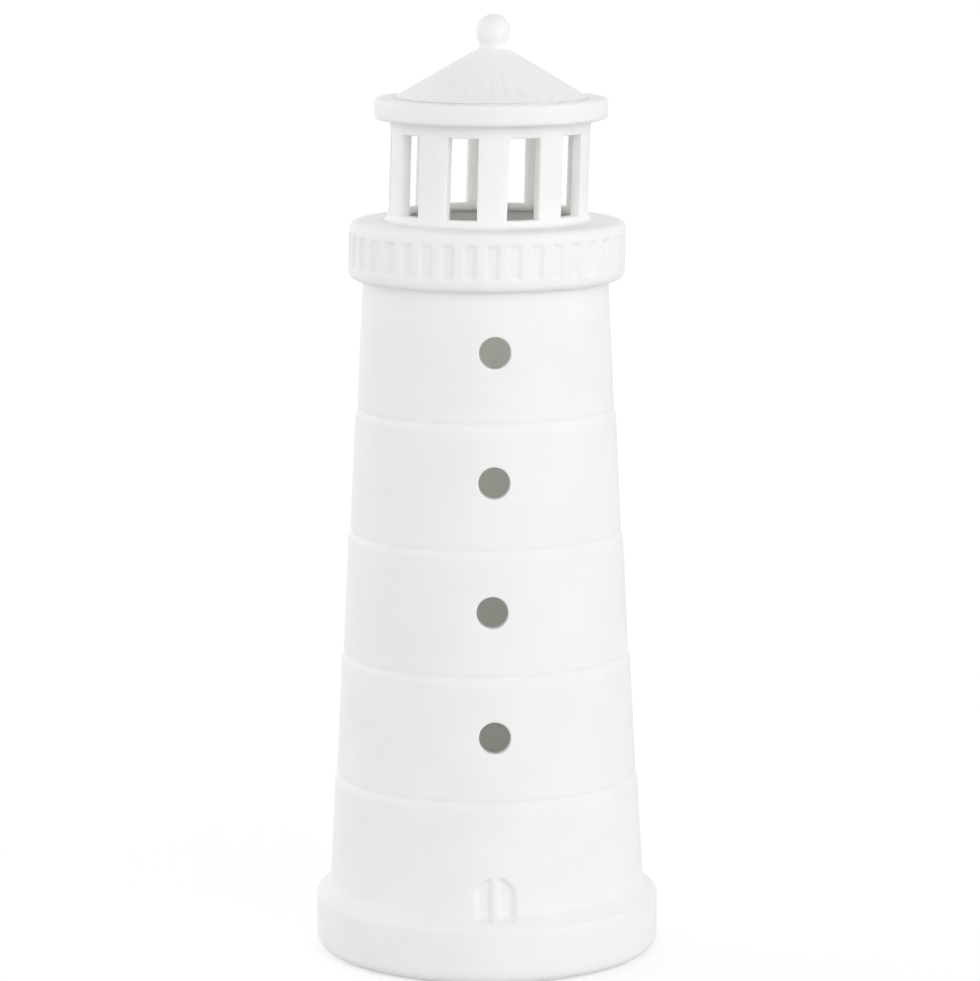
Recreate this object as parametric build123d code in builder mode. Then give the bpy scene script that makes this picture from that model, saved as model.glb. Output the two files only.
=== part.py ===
from build123d import *
from math import acos, cos, degrees, hypot, radians, sin, sqrt
import os

# A porcelain lighthouse light: slip-cast tower, lift-off lantern top, battery light in the foot.
# Millimetres, +Z up, origin on the floor at the tower's axis, the door and windows face -Y.

# Plinth and tower
tower_top_radius = 36.5
tower_wall = 3.5
foot_ring_width = 6.2
plinth_ledge = 4.2
plinth_height = 17.6
plinth_wall = 4.5
plinth_foot_round = 4.2
plinth_top_round = 2.5
course_count = 5
lowest_course_height = 35.9
course_height = 36.8
top_course_height = 38.2
course_step = 0.6
course_bevel = 0.8
floor_thickness = 4.0
recess_gap = 0.8
round_chord_count = 3

# Round windows and door relief of the tower
window_diameter = 9.3
window_rise = 0.8
door_width = 12.8
door_height = 14.4
door_depth = 1.2
door_bar_width = 2.6

# Gallery
gallery_overhang = 4.55
gallery_height = 17.3
gallery_round = 3.0
gallery_wall = 3.2
flute_count = 36
flute_width = 3.4
flute_height = 9.6
flute_depth = 0.7
spigot_depth = 7.0
spigot_wall = 3.0
spigot_clearance = 0.5

# Lantern cage
deck_width = 11.3
lantern_wall = 3.0
lantern_window_count = 10
lantern_window_angle = 19.5
lantern_window_height = 23.7
sill_height = 2.6
head_height = 3.6
cove_radius = 1.2
foot_cove_radius = 1.8

# Roof and finial
eave_overhang = 4.8
eave_thickness = 6.2
eave_round = 2.0
eave_top_round = 1.2
eave_ledge = 5.5
roof_rise = 13.9
roof_wall = 3.0
pleat_count = 36
pleat_depth = 0.6
ball_radius = 5.2
neck_inset = 1.1
neck_height = 2.2
neck_ledge = 1.3
ball_chord_count = 7

# Battery cells and their contact strips
battery_names = ["battery_1", "battery_2", "battery_3"]
battery_diameter = 10.5
battery_length = 44.5
battery_gap = 0.7
nub_diameter = 3.8
nub_height = 0.9
cell_clearance = 0.4
spring_length = 3.4
contact_thickness = 0.4
contact_height = 8.0
contact_width = 8.0
leaf_width = 5.0
leaf_rise = 3.2
leaf_end_gap = 0.3
touch_gap = 0.05

# Moulded halves of the light insert
floor_clearance = 0.6
flange_thickness = 2.4
seat_width = 5.0
shell_wall = 1.6
skirt_height = 9.0
assembly_gap = 0.3
housing_bevel = 1.5
boss_radius = 3.0
boss_spread = 12.0
standoff_height = 1.2
standoff_radius = 1.6
standoff_circle = 14.0

# Silicone grip ring
grip_groove = 0.8
grip_height = 3.4
grip_thickness = 2.2
grip_band = 1.2
grip_lip_count = 2
grip_gap = 0.25

# Light source and diffuser
board_gap = 5.0
board_thickness = 1.6
led_length = 3.5
led_width = 2.8
led_height = 1.6
led_count = 3
led_circle = 6.0
led_clearance = 1.0
aperture_radius = 12.5
diffuser_seat = 2.5
diffuser_height = 12.0
diffuser_draft = 2.0
diffuser_wall = 1.6

# Slide switch
switch_wall = 1.3
switch_roof = 2.1
switch_travel = 3.0
knob_width = 2.0
knob_length = 3.0
knob_recess = 0.3
knob_depth = 1.4
knob_groove = 0.4
knob_groove_count = 3
slide_gap = 0.3

# Battery cover and screws
cover_thickness = 1.4
cover_gap = 0.3
cover_rebate = 1.0
cover_ear_radius = 4.2
cover_screw_offset = 2.2
cover_boss_radius = 2.6
cover_boss_height = 6.0
screw_radius = 1.1
screw_head_radius = 2.1
screw_head_height = 1.5
screw_fit = 0.03
screw_clearance = 0.25
housing_screw_length = 12.0
housing_screw_sink = 2.6
cover_screw_length = 5.0
cover_screw_head_height = 0.8
hole_run_out = 1.0

# Insert widths, from the cells outwards
battery_count = len(battery_names)
cell_pitch = battery_diameter + battery_gap
bay_half_width = (battery_count * cell_pitch - battery_gap) / 2 + cell_clearance
bay_half_length = (battery_length + spring_length) / 2 + contact_thickness
box_half_width = bay_half_width + shell_wall
box_half_length = bay_half_length + shell_wall
barrel_bore = hypot(box_half_width, box_half_length) + assembly_gap
barrel_radius = barrel_bore + shell_wall
groove_radius = barrel_radius - grip_groove
socket_radius = groove_radius + grip_thickness + grip_gap
flange_radius = socket_radius + seat_width
recess_radius = flange_radius + recess_gap
side_x = (box_half_width + barrel_bore) / 2
boss_points = [(-side_x, -boss_spread), (side_x, boss_spread)]
board_radius = hypot(side_x, boss_spread) - boss_radius - board_gap
diffuser_radius = aperture_radius + diffuser_seat
cover_screw_y = box_half_length + cover_screw_offset
cover_screw_points = [(0, -cover_screw_y), (0, cover_screw_y)]
cell_x = [(i - (battery_count - 1) / 2) * cell_pitch for i in range(battery_count)]

# Tower levels and radii
plinth_radius = recess_radius + foot_ring_width + plinth_foot_round
tower_base_radius = plinth_radius - plinth_ledge
ledge_z = [plinth_height + lowest_course_height + i * course_height for i in range(course_count - 1)]
rim_z = ledge_z[-1] + top_course_height
course_z = [plinth_height, *ledge_z, rim_z]
tower_narrowing = tower_base_radius - tower_top_radius - (course_count - 1) * course_step
tower_slope = tower_narrowing / (rim_z - plinth_height)
mouth_radius = tower_top_radius - tower_wall
foot_recess = flange_thickness + floor_clearance
floor_top_z = foot_recess + floor_thickness

# Lantern top levels and radii
gallery_radius = tower_top_radius + gallery_overhang
spigot_radius = mouth_radius - spigot_clearance
lantern_radius = gallery_radius - deck_width
lantern_bore = lantern_radius - lantern_wall
eave_radius = lantern_radius + eave_overhang
roof_foot_radius = eave_radius - eave_ledge
neck_radius = ball_radius - neck_inset
roof_top_radius = neck_radius + neck_ledge
deck_z = rim_z + gallery_height
sill_z = deck_z + sill_height
eave_z = sill_z + lantern_window_height + head_height
roof_z = eave_z + eave_thickness
finial_z = roof_z + roof_rise
ball_z = finial_z + neck_height + sqrt(ball_radius**2 - neck_radius**2)

# Insert levels, from the floor upwards
flange_z = floor_clearance
seat_z = foot_recess
cover_top_z = flange_z + cover_thickness
cell_z = cover_top_z + cell_clearance + battery_diameter / 2
bay_top_z = cell_z + battery_diameter / 2 + cell_clearance
box_top_z = bay_top_z + shell_wall
parting_z = seat_z + skirt_height
board_z = box_top_z + standoff_height
board_top_z = board_z + board_thickness
housing_ceiling_z = board_top_z + led_height + led_clearance
housing_top_z = housing_ceiling_z + shell_wall

os.makedirs("parts", exist_ok=True)


def save(piece, name):
    piece.part.label = name
    export_step(piece.part, f"parts/{name}.step")


def front_plane(y, z):
    return Plane(origin=(0, y, z), x_dir=(1, 0, 0), z_dir=(0, -1, 0))


# Points of a round in an outline, between two angles in degrees, joined by short chords
def round_points(centre_x, centre_y, radius, first, last, chords=round_chord_count):
    angles = [radians(first + (last - first) * i / chords) for i in range(chords + 1)]
    return [(centre_x + radius * cos(angle), centre_y + radius * sin(angle)) for angle in angles]


# Foot and head of a course in the tower's outline, the head bevelled where another course stands on it
def course_foot(course):
    fall = tower_slope * (course_z[course] - plinth_height)
    return tower_base_radius - fall - course * course_step, course_z[course]


def course_head(course):
    head_z = course_z[course + 1] - (course_bevel if course < course_count - 1 else 0)
    foot_radius, foot_z = course_foot(course)
    return foot_radius - tower_slope * (head_z - foot_z), head_z


def bore_radius(z):
    share = (z - plinth_height) / (rim_z - plinth_height)
    return tower_base_radius - tower_wall + share * (tower_top_radius - tower_base_radius)


# Door recess: an arch cut to an even depth into the lowest course, with a bar left standing in its middle
with BuildPart() as door_cut:
    jamb_x = door_width / 2
    spring_z = door_height - jamb_x
    door_foot_radius = course_foot(0)[0]
    door_head_radius, door_head_z = course_head(0)
    with BuildSketch(front_plane(0, plinth_height)):
        with BuildLine():
            Polyline((-jamb_x, spring_z), (-jamb_x, 0), (jamb_x, 0), (jamb_x, spring_z))
            ThreePointArc((jamb_x, spring_z), (0, door_height), (-jamb_x, spring_z))
        make_face()
        Rectangle(door_bar_width, 2 * door_height, mode=Mode.SUBTRACT)
    extrude(amount=plinth_radius)
    with BuildSketch(Plane.XZ):
        with BuildLine():
            Polyline(
                (0, 0),
                (door_foot_radius - door_depth, 0),
                (door_foot_radius - door_depth, plinth_height),
                (door_head_radius - door_depth, door_head_z),
                (0, door_head_z),
                close=True,
            )
        make_face()
    revolve(axis=Axis.Z, mode=Mode.SUBTRACT)

# Tower: outer form with stepped courses, hollowed to an even wall, mouth above and socket below
with BuildPart() as tower_shell:
    course_points = []
    for course in range(course_count):
        course_points += [course_foot(course), course_head(course)]
    foot_round = plinth_foot_round
    top_round = min(plinth_top_round, plinth_ledge)
    with BuildSketch(Plane.XZ):
        with BuildLine():
            Polyline(
                (0, 0),
                *round_points(plinth_radius - foot_round, foot_round, foot_round, -90, 0),
                *round_points(plinth_radius - top_round, plinth_height - top_round, top_round, 0, 90),
                *course_points,
                (0, rim_z),
                close=True,
            )
        make_face()
    revolve(axis=Axis.Z)
    shoulder_z = plinth_height - tower_wall
    with BuildSketch(Plane.XZ):
        with BuildLine():
            Polyline(
                (0, floor_top_z),
                (plinth_radius - plinth_wall, floor_top_z),
                (plinth_radius - plinth_wall, shoulder_z),
                (bore_radius(shoulder_z), shoulder_z),
                (mouth_radius, rim_z),
                (0, rim_z),
                close=True,
            )
        make_face()
    revolve(axis=Axis.Z, mode=Mode.SUBTRACT)
    with BuildSketch(Plane.XY):
        Circle(recess_radius)
    extrude(amount=foot_recess, mode=Mode.SUBTRACT)
    with BuildSketch(Plane.XY):
        Circle(socket_radius)
    extrude(amount=floor_top_z, mode=Mode.SUBTRACT)
    add(door_cut.part, mode=Mode.SUBTRACT)
    window_places = [(0, (low + high) / 2 + window_rise) for low, high in zip(course_z[1:], course_z[2:])]
    with BuildSketch(Plane.XZ):
        with Locations(*window_places):
            Circle(window_diameter / 2)
    extrude(amount=plinth_radius, mode=Mode.SUBTRACT)
save(tower_shell, "tower_shell")

# Gallery: hollow ring with a spigot below and a deck above, flutes sunk round its face
with BuildPart() as flute_cut:
    with BuildSketch(front_plane(flute_depth - gallery_radius, rim_z + gallery_height / 2)):
        Rectangle(flute_width, flute_height)
    extrude(amount=2 * flute_depth)

with BuildPart() as gallery_ring:
    spigot_bore = spigot_radius - spigot_wall
    pocket_radius = gallery_radius - gallery_wall
    round_radius = gallery_radius - gallery_round
    with BuildSketch(Plane.XZ):
        with BuildLine():
            Polyline(
                (spigot_bore, rim_z - spigot_depth),
                (spigot_radius, rim_z - spigot_depth),
                (spigot_radius, rim_z),
                *round_points(round_radius, rim_z + gallery_round, gallery_round, -90, 0),
                *round_points(round_radius, deck_z - gallery_round, gallery_round, 0, 90),
                (lantern_bore, deck_z),
                (lantern_bore, deck_z - gallery_wall),
                (pocket_radius, deck_z - gallery_wall),
                (pocket_radius, rim_z + gallery_wall),
                (spigot_bore, rim_z + gallery_wall),
                close=True,
            )
        make_face()
    revolve(axis=Axis.Z)
    with PolarLocations(0, flute_count):
        add(flute_cut.part, mode=Mode.SUBTRACT)
save(gallery_ring, "gallery_ring")

# Lantern cage: ring wall coved at foot and eave, with window openings between pillars, one at the front
with BuildPart() as lantern_window_cut:
    half_angle = radians(lantern_window_angle / 2)
    reach = lantern_radius + cove_radius + lantern_wall
    spread = reach * sin(half_angle)
    with BuildSketch(Plane.XY.offset(sill_z)):
        with BuildLine():
            Polyline((0, 0), (reach, -spread), (reach, spread), close=True)
        make_face()
    extrude(amount=lantern_window_height)

with BuildPart() as lantern_cage:
    foot_cove_x = lantern_radius + foot_cove_radius
    with BuildSketch(Plane.XZ):
        with BuildLine():
            Polyline(
                (lantern_bore, eave_z),
                (lantern_bore, deck_z),
                *round_points(foot_cove_x, deck_z + foot_cove_radius, foot_cove_radius, 270, 180),
                *round_points(lantern_radius + cove_radius, eave_z - cove_radius, cove_radius, 180, 90),
                close=True,
            )
        make_face()
    revolve(axis=Axis.Z)
    with PolarLocations(0, lantern_window_count, start_angle=-90 + 180 / lantern_window_count):
        add(lantern_window_cut.part, mode=Mode.SUBTRACT)
save(lantern_cage, "lantern_cage")


def pleat_points(radius):
    valley = radius * (1 - pleat_depth / roof_foot_radius)
    turns = [radians(180 * i / pleat_count) for i in range(2 * pleat_count)]
    reaches = [valley if i % 2 else radius for i in range(2 * pleat_count)]
    return [(reach * cos(turn), reach * sin(turn)) for reach, turn in zip(reaches, turns)]


# Roof: eave ring and pleated cone, hollow below, the pleats tapering out towards the finial
with BuildPart() as roof_cap:
    with BuildSketch(Plane.XZ):
        with BuildLine():
            Polyline(
                (0, eave_z),
                *round_points(eave_radius - eave_round, eave_z + eave_round, eave_round, -90, 0),
                *round_points(eave_radius - eave_top_round, roof_z - eave_top_round, eave_top_round, 0, 90),
                (0, roof_z),
                close=True,
            )
        make_face()
    revolve(axis=Axis.Z)
    for level, radius in ((roof_z, roof_foot_radius), (finial_z, roof_top_radius)):
        with BuildSketch(Plane.XY.offset(level)):
            with BuildLine():
                Polyline(*pleat_points(radius), close=True)
            make_face()
    loft(ruled=True)
    roof_slope = roof_rise / (roof_foot_radius - roof_top_radius)
    soffit_drop = (roof_wall + pleat_depth) * hypot(1, roof_slope)
    ceiling_z = finial_z - roof_wall
    with BuildSketch(Plane.XZ):
        with BuildLine():
            Polyline(
                (0, eave_z),
                (lantern_bore, eave_z),
                (lantern_bore, roof_z + (roof_foot_radius - lantern_bore) * roof_slope - soffit_drop),
                (roof_foot_radius - (ceiling_z + soffit_drop - roof_z) / roof_slope, ceiling_z),
                (0, ceiling_z),
                close=True,
            )
        make_face()
    revolve(axis=Axis.Z, mode=Mode.SUBTRACT)
save(roof_cap, "roof_cap")

# Ball finial on a short neck
with BuildPart() as ball_finial:
    neck_angle = -degrees(acos(neck_radius / ball_radius))
    with BuildSketch(Plane.XZ):
        with BuildLine():
            Polyline(
                (0, finial_z),
                (neck_radius, finial_z),
                *round_points(0, ball_z, ball_radius, neck_angle, 90, ball_chord_count),
                close=True,
            )
        make_face()
    revolve(axis=Axis.Z)
save(ball_finial, "ball_finial")


def cover_outline(growth):
    Rectangle(2 * (bay_half_width + cover_rebate + growth), 2 * (bay_half_length + cover_rebate + growth))
    with Locations(*cover_screw_points):
        Circle(cover_ear_radius + growth)


# Lower half of the insert: flange, barrel, battery box and screw bosses
with BuildPart() as base_plate:
    with BuildSketch(Plane.XY.offset(flange_z)):
        Circle(flange_radius)
    extrude(amount=flange_thickness)
    with BuildSketch(Plane.XY.offset(seat_z)):
        Circle(barrel_radius)
        Circle(barrel_bore, mode=Mode.SUBTRACT)
        with Locations(*boss_points):
            Circle(boss_radius)
    extrude(amount=skirt_height)
    with BuildSketch(Plane.XY.offset(seat_z)):
        Rectangle(2 * box_half_width, 2 * box_half_length)
    extrude(amount=box_top_z - seat_z)
    with BuildSketch(Plane.XY.offset(seat_z)):
        with Locations(*cover_screw_points):
            Circle(cover_boss_radius)
    extrude(amount=cover_boss_height)
    with BuildSketch(Plane.XY.offset(box_top_z)):
        with PolarLocations(standoff_circle, 3):
            Circle(standoff_radius)
    extrude(amount=standoff_height)
    with BuildSketch(Plane.XY.offset(flange_z)):
        Rectangle(2 * bay_half_width, 2 * bay_half_length)
    extrude(amount=bay_top_z - flange_z, mode=Mode.SUBTRACT)
    with BuildSketch(Plane.XY.offset(flange_z)):
        cover_outline(cover_gap)
    extrude(amount=cover_thickness, mode=Mode.SUBTRACT)
    # Counterbored holes for the housing screws, blind holes for the cover screws
    with BuildSketch(Plane.XY.offset(flange_z)):
        with Locations(*boss_points):
            Circle(screw_head_radius + screw_clearance)
    extrude(amount=housing_screw_sink + screw_head_height, mode=Mode.SUBTRACT)
    with BuildSketch(Plane.XY.offset(flange_z)):
        with Locations(*boss_points):
            Circle(screw_radius + screw_clearance)
    extrude(amount=parting_z - flange_z, mode=Mode.SUBTRACT)
    with BuildSketch(Plane.XY.offset(cover_top_z)):
        with Locations(*cover_screw_points):
            Circle(screw_radius + screw_fit)
    extrude(amount=cover_screw_length + hole_run_out, mode=Mode.SUBTRACT)
    # Slot for the switch knob and groove for the grip ring
    with BuildSketch(Plane.XY.offset(flange_z)):
        with Locations((-side_x, 0)):
            Rectangle(knob_width + 2 * slide_gap, knob_length + switch_travel + 2 * slide_gap)
    extrude(amount=flange_thickness, mode=Mode.SUBTRACT)
    with BuildSketch(Plane.XY.offset(seat_z + (floor_thickness - grip_height) / 2)):
        Circle(barrel_radius)
        Circle(groove_radius, mode=Mode.SUBTRACT)
    extrude(amount=grip_height, mode=Mode.SUBTRACT)
save(base_plate, "base_plate")

# Upper half of the insert: a cup turned over, with screw pillars and the light's aperture
with BuildPart() as top_housing:
    with BuildSketch(Plane.XY.offset(parting_z)):
        Circle(barrel_radius)
    extrude(amount=housing_top_z - parting_z)
    chamfer(top_housing.edges().group_by(Axis.Z)[-1], housing_bevel)
    with BuildSketch(Plane.XY.offset(parting_z)):
        Circle(barrel_bore)
        with Locations(*boss_points):
            Circle(boss_radius, mode=Mode.SUBTRACT)
    extrude(amount=housing_ceiling_z - parting_z, mode=Mode.SUBTRACT)
    with BuildSketch(Plane.XY.offset(housing_ceiling_z)):
        Circle(aperture_radius)
    extrude(amount=shell_wall, mode=Mode.SUBTRACT)
    screw_seat_z = flange_z + housing_screw_sink + screw_head_height
    with BuildSketch(Plane.XY.offset(parting_z)):
        with Locations(*boss_points):
            Circle(screw_radius + screw_fit)
    extrude(amount=screw_seat_z + housing_screw_length + hole_run_out - parting_z, mode=Mode.SUBTRACT)
save(top_housing, "top_housing")

# Silicone ring with soft lips, in the groove of the barrel
with BuildPart() as grip_ring:
    grip_z = seat_z + (floor_thickness - grip_height) / 2 + touch_gap
    lip_pitch = (grip_height - 2 * touch_gap) / grip_lip_count
    band_radius = groove_radius + grip_band
    lip_points = []
    for lip in range(grip_lip_count):
        lip_points.append((band_radius, grip_z + lip * lip_pitch))
        lip_points.append((groove_radius + grip_thickness, grip_z + (lip + 0.5) * lip_pitch))
    with BuildSketch(Plane.XZ):
        with BuildLine():
            Polyline(
                (groove_radius + touch_gap, grip_z),
                *lip_points,
                (band_radius, grip_z + grip_lip_count * lip_pitch),
                (groove_radius + touch_gap, grip_z + grip_lip_count * lip_pitch),
                close=True,
            )
        make_face()
    revolve(axis=Axis.Z)
save(grip_ring, "grip_ring")

# Frosted cap over the aperture, seated round its rim
with BuildPart() as diffuser:
    cap_top_z = housing_top_z + diffuser_height
    with BuildSketch(Plane.XZ):
        with BuildLine():
            Polyline(
                (diffuser_radius - diffuser_wall, housing_top_z),
                (diffuser_radius, housing_top_z),
                (diffuser_radius - diffuser_draft, cap_top_z),
                (0, cap_top_z),
                (0, cap_top_z - diffuser_wall),
                (diffuser_radius - diffuser_draft - diffuser_wall, cap_top_z - diffuser_wall),
                close=True,
            )
        make_face()
    revolve(axis=Axis.Z)
save(diffuser, "diffuser")

# Circuit board on the standoffs, with the light sources on top
with BuildPart() as led_board:
    with BuildSketch(Plane.XY.offset(board_z)):
        Circle(board_radius)
    extrude(amount=board_thickness)
save(led_board, "led_board")

with BuildPart() as leds:
    with BuildSketch(Plane.XY.offset(board_top_z)):
        with PolarLocations(led_circle, led_count):
            Rectangle(led_length, led_width)
    extrude(amount=led_height)
save(leds, "leds")


def battery_cell(x, facing):
    foot_y = facing * (bay_half_length - contact_thickness - touch_gap - battery_length)
    foot_plane = Plane(origin=(x, foot_y, cell_z), x_dir=(1, 0, 0), z_dir=(0, facing, 0))
    with BuildPart() as cell:
        with BuildSketch(foot_plane):
            Circle(battery_diameter / 2)
        extrude(amount=battery_length - nub_height)
        with BuildSketch(foot_plane):
            Circle(nub_diameter / 2)
        extrude(amount=battery_length)
    return cell


# Cells side by side, turned end for end so that the strips join them in series
for index, name in enumerate(battery_names):
    save(battery_cell(cell_x[index], 1 if index % 2 else -1), name)


def contact_strip(end, cells, sprung):
    wall_y = bay_half_length - contact_thickness
    with BuildPart() as strip:
        with BuildSketch(Plane.XZ.offset(-end * bay_half_length)):
            with Locations(((cell_x[cells[0]] + cell_x[cells[-1]]) / 2, cell_z)):
                Rectangle(cell_x[cells[-1]] - cell_x[cells[0]] + contact_width, contact_height)
        extrude(amount=end * contact_thickness)
        # Bent leaf that presses on the flat end of a cell: its line, and the same line one thickness back
        leaf_line = [
            (wall_y, cell_z - leaf_rise),
            (wall_y - spring_length + 2 * touch_gap, cell_z),
            (wall_y - contact_thickness - leaf_end_gap, cell_z + leaf_rise),
        ]
        leaf_back = [(y + contact_thickness, z) for y, z in reversed(leaf_line)]
        for cell in sprung:
            with BuildSketch(Plane.YZ.offset(cell_x[cell])):
                with BuildLine():
                    Polyline(*[(end * y, z) for y, z in leaf_line + leaf_back], close=True)
                make_face()
            extrude(amount=leaf_width / 2, both=True)
    return strip


save(contact_strip(-1, [0, 1], [1]), "contact_bridge_front")
save(contact_strip(-1, [2], []), "contact_positive")
save(contact_strip(1, [0], [0]), "contact_negative")
save(contact_strip(1, [1, 2], [2]), "contact_bridge_rear")

# Slide switch on the inside of the flange, its knob standing in the slot at the off end
slot_width = knob_width + 2 * slide_gap
slot_length = knob_length + switch_travel + 2 * slide_gap
with BuildPart() as switch_body:
    with BuildSketch(Plane.XY.offset(seat_z)):
        with Locations((-side_x, 0)):
            Rectangle(slot_width + 2 * switch_wall, slot_length + 2 * switch_wall)
    extrude(amount=knob_depth + slide_gap + switch_roof)
    with BuildSketch(Plane.XY.offset(seat_z)):
        with Locations((-side_x, 0)):
            Rectangle(slot_width, slot_length)
    extrude(amount=knob_depth + slide_gap, mode=Mode.SUBTRACT)
save(switch_body, "switch_body")

with BuildPart() as switch_knob:
    knob_z = flange_z + knob_recess
    with BuildSketch(Plane.XY.offset(knob_z)):
        with Locations((-side_x, -switch_travel / 2)):
            Rectangle(knob_width, knob_length)
    extrude(amount=seat_z + knob_depth - knob_z)
    with BuildSketch(Plane.XY.offset(knob_z)):
        with Locations((-side_x, -switch_travel / 2)):
            with GridLocations(1, 2 * knob_groove, 1, knob_groove_count):
                Rectangle(knob_width, knob_groove)
    extrude(amount=knob_groove, mode=Mode.SUBTRACT)
save(switch_knob, "switch_knob")


def screw_set(points, head_z, head_height, length):
    with BuildPart() as screws:
        with BuildSketch(Plane.XY.offset(head_z)):
            with Locations(*points):
                Circle(screw_head_radius)
        extrude(amount=head_height)
        with BuildSketch(Plane.XY.offset(head_z + head_height)):
            with Locations(*points):
                Circle(screw_radius)
        extrude(amount=length)
    return screws


screw_head_z = flange_z + housing_screw_sink
save(screw_set(boss_points, screw_head_z, screw_head_height, housing_screw_length), "housing_screws")

# Battery cover flush with the flange, with its two captive screws
with BuildPart() as battery_cover:
    with BuildSketch(Plane.XY.offset(flange_z)):
        cover_outline(0)
    extrude(amount=cover_thickness)
    with BuildSketch(Plane.XY.offset(flange_z)):
        with Locations(*cover_screw_points):
            Circle(screw_radius + screw_clearance)
    extrude(amount=cover_thickness, mode=Mode.SUBTRACT)
    with BuildSketch(Plane.XY.offset(flange_z)):
        with Locations(*cover_screw_points):
            Circle(screw_head_radius + screw_clearance)
    extrude(amount=cover_screw_head_height, mode=Mode.SUBTRACT)
save(battery_cover, "battery_cover")
save(screw_set(cover_screw_points, flange_z, cover_screw_head_height, cover_screw_length), "cover_screws")
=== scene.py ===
import math

import bmesh
import bpy
import numpy as np
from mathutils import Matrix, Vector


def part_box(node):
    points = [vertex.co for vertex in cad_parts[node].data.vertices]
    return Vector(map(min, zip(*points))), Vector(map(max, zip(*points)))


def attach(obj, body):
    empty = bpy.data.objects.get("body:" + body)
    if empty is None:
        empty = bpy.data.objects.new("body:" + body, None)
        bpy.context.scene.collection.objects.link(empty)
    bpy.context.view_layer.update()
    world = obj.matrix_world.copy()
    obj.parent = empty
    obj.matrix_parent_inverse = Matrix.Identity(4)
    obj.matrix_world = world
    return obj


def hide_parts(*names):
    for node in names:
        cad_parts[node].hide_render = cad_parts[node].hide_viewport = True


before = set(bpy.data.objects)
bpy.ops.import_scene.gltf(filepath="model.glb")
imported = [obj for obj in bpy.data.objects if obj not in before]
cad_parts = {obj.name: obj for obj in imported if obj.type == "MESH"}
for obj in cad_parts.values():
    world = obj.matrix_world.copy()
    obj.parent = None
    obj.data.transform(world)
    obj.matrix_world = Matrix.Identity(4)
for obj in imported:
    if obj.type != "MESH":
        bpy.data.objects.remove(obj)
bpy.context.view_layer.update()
scene = bpy.context.scene
scene.view_settings.view_transform = "Standard"
scene.cycles.diffuse_bounces = 16  # light finds its way down the white inside of the tower
scene.cycles.max_bounces = 24
mm = 0.001  # everything below is in millimetres until a mesh is made
front = -math.pi / 2  # the side with the door and the round windows
print("frame loaded:", len(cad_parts), "nodes")


def boxOf(node):
    low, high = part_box(node)
    return np.array(low) / mm, np.array(high) / mm


def linear(hexColour):
    parts = [int(hexColour[i:i + 2], 16) / 255 for i in (1, 3, 5)]
    return [p / 12.92 if p <= 0.04045 else ((p + 0.055) / 1.055) ** 2.4 for p in parts] + [1.0]


def perMetre(size):
    return 1 / (size * mm)  # texture scale that gives one feature per size, in mm


def wire(finish, node, links):
    for name, source in links.items():
        finish.node_tree.links.new(source, node.inputs[name])


def addNode(finish, kind, settings=None, links=None):
    node = finish.node_tree.nodes.new(kind)
    for name, value in (settings or {}).items():
        if hasattr(node, str(name)):
            setattr(node, name, value)
        else:
            node.inputs[name].default_value = value
    wire(finish, node, links or {})
    return node


def newFinish(name, settings):
    finish = bpy.data.materials.new(name)
    finish.use_nodes = True
    shader = finish.node_tree.nodes["Principled BSDF"]
    for socket, value in settings.items():
        shader.inputs[socket].default_value = value
    place = addNode(finish, "ShaderNodeTexCoord").outputs["Object"]
    return finish, shader, place


# Finishes

def biscuitPorcelain(name, light, dark, glow, glowDepth, spongeMarks):
    # slip-cast porcelain fired without a glaze: chalky white, no mirror, soft light through thin walls
    finish, shader, place = newFinish(name, {
        "Roughness": 0.6, "IOR": 1.5, "Subsurface Weight": glow, "Subsurface Scale": glowDepth * mm,
        "Subsurface Radius": (1.0, 1.0, 0.98)})
    cloud = addNode(finish, "ShaderNodeTexNoise", {"Scale": perMetre(22), "Detail": 3.0}, {"Vector": place})
    tint = addNode(finish, "ShaderNodeValToRGB", links={"Fac": cloud.outputs["Fac"]})
    for stop, position, colour in zip(tint.color_ramp.elements, (0.3, 0.7), (dark, light)):
        stop.position = position
        stop.color = linear(colour)
    # the real grain is about 0.05 mm; it is drawn at 0.5 mm so that it shows
    grain = addNode(finish, "ShaderNodeTexNoise", {"Scale": perMetre(0.5), "Detail": 2.0}, {"Vector": place})
    sponge = addNode(finish, "ShaderNodeTexNoise", {"Scale": perMetre(7), "Detail": 2.0}, {"Vector": place})
    rough = addNode(finish, "ShaderNodeMapRange", {"To Min": 0.54, "To Max": 0.68},
                    {"Value": grain.outputs["Fac"]})
    sponged = addNode(finish, "ShaderNodeBump", {"Strength": spongeMarks, "Distance": 0.25 * mm},
                      {"Height": sponge.outputs["Fac"]})
    gritty = addNode(finish, "ShaderNodeBump", {"Strength": 0.3, "Distance": 0.03 * mm},
                     {"Height": grain.outputs["Fac"], "Normal": sponged.outputs["Normal"]})
    wire(finish, shader, {"Base Color": tint.outputs["Color"], "Roughness": rough.outputs["Result"],
                          "Normal": gritty.outputs["Normal"]})
    return finish


def mouldedAbs(name, light, dark, grit):
    # ABS from a spark-eroded mould: even colour with a fine leathery grain that breaks up its shine
    finish, shader, place = newFinish(name, {"Roughness": 0.5, "IOR": 1.53})
    grain = addNode(finish, "ShaderNodeTexNoise", {"Scale": perMetre(grit), "Detail": 3.0}, {"Vector": place})
    tint = addNode(finish, "ShaderNodeMix", {"data_type": "RGBA", 6: linear(dark), 7: linear(light)},
                   {0: grain.outputs["Fac"]})
    rough = addNode(finish, "ShaderNodeMapRange", {"To Min": 0.42, "To Max": 0.6},
                    {"Value": grain.outputs["Fac"]})
    bump = addNode(finish, "ShaderNodeBump", {"Strength": 0.4, "Distance": 0.04 * mm},
                   {"Height": grain.outputs["Fac"]})
    wire(finish, shader, {"Base Color": tint.outputs[2], "Roughness": rough.outputs["Result"],
                          "Normal": bump.outputs["Normal"]})
    return finish


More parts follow.
